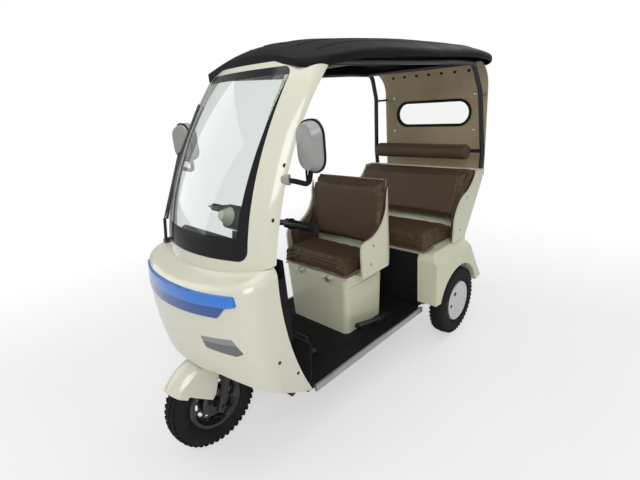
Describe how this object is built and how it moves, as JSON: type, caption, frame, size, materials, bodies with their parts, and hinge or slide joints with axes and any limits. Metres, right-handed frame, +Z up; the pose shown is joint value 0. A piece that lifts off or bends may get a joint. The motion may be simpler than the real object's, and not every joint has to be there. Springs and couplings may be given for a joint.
{
  "type": "electric passenger tricycle",
  "caption": "Roofed electric passenger tricycle with a moulded nose and windscreen, a bucket seat for the driver, a rear bench and open sides.",
  "frame": {"origin": "on the ground under the middle of the length", "axes": "+Z up, -Y towards the nose, +X to the left side of the vehicle"},
  "size_m": [0.8884, 1.9199, 1.5151],
  "materials": {
    "cream_shell": "gloss",
    "cream_panel": "gloss",
    "black_plastic": "grained",
    "dark_plastic": "satin",
    "frame_paint": "satin black",
    "rim_paint": "gloss black",
    "cover_silver": "satin silver",
    "sill_alloy": "satin",
    "steel": "satin",
    "tyre_rubber": "matte",
    "grip_rubber": "ribbed",
    "seat_leather": "stitched",
    "curtain_leather": "grained",
    "screen_glass": "tinted, black border",
    "clear_pane": "clear",
    "blue_lens": "translucent blue",
    "lamp_lens": "clear over a dark reflector",
    "red_lens": "translucent red",
    "battery_case": "plain",
    "mirror_shell": "gloss"
  },
  "bodies": {
    "chassis": {"nose_shell": "cream_shell", "screen_frame": "cream_shell", "windshield": "screen_glass", "light_bar": "blue_lens", "headlamps": "lamp_lens", "inner_apron": "black_plastic", "dash_tray": "black_plastic", "wiper": "frame_paint", "mirrors": "mirror_shell", "floor_pan": "black_plastic", "sill_trims": "sill_alloy", "chassis_frame": "frame_paint", "seat_box": "cream_panel", "seat_hinge": "steel", "battery_pack": "battery_case", "hand_brake": "frame_paint", "brake_pedal": "frame_paint", "rear_body": "cream_panel", "bench_front": "black_plastic", "bench_shell": "cream_panel", "bench_cushion": "seat_leather", "bench_back_pad": "seat_leather", "canopy_frame": "frame_paint", "headrest": "seat_leather", "rear_panel": "curtain_leather", "rear_window": "clear_pane", "roof": "black_plastic", "rear_axle": "steel", "rear_shocks": "steel", "tail_lamps": "red_lens"},
    "steering": {"front_fork": "frame_paint", "front_fender": "cream_shell", "handlebar": "frame_paint", "hand_grips": "grip_rubber", "brake_levers": "frame_paint", "instrument_pod": "dark_plastic", "column_cowl": "dark_plastic", "nacelle": "cream_shell"},
    "front_wheel": {"front_tyre": "tyre_rubber", "front_rim": "rim_paint"},
    "rear_wheel_left": {"rear_tyre_left": "tyre_rubber", "rear_rim_left": "rim_paint", "wheel_cover_left": "cover_silver"},
    "rear_wheel_right": {"rear_tyre_right": "tyre_rubber", "rear_rim_right": "rim_paint", "wheel_cover_right": "cover_silver"},
    "driver_seat": {"driver_seat_shell": "cream_panel", "driver_cushion": "seat_leather", "driver_back_pad": "seat_leather"}
  },
  "joints": [
    {"name": "steering_turn", "type": "hinge", "parent": "chassis", "child": "steering", "pos_m": [0, -0.756, 0.187], "axis": [0, 0.3746, 0.9272], "range_deg": [-28, 28]},
    {"name": "front_wheel_spin", "type": "hinge", "parent": "steering", "child": "front_wheel", "pos_m": [0, -0.773, 0.187], "axis": [1, 0, 0], "continuous": true},
    {"name": "rear_left_spin", "type": "hinge", "parent": "chassis", "child": "rear_wheel_left", "pos_m": [0.356, 0.525, 0.187], "axis": [1, 0, 0], "continuous": true},
    {"name": "rear_right_spin", "type": "hinge", "parent": "chassis", "child": "rear_wheel_right", "pos_m": [-0.356, 0.525, 0.187], "axis": [1, 0, 0], "continuous": true},
    {"name": "driver_seat_tilt", "type": "hinge", "parent": "chassis", "child": "driver_seat", "pos_m": [0, -0.165, 0.504], "axis": [1, 0, 0], "range_deg": [0, 45]}
  ]
}
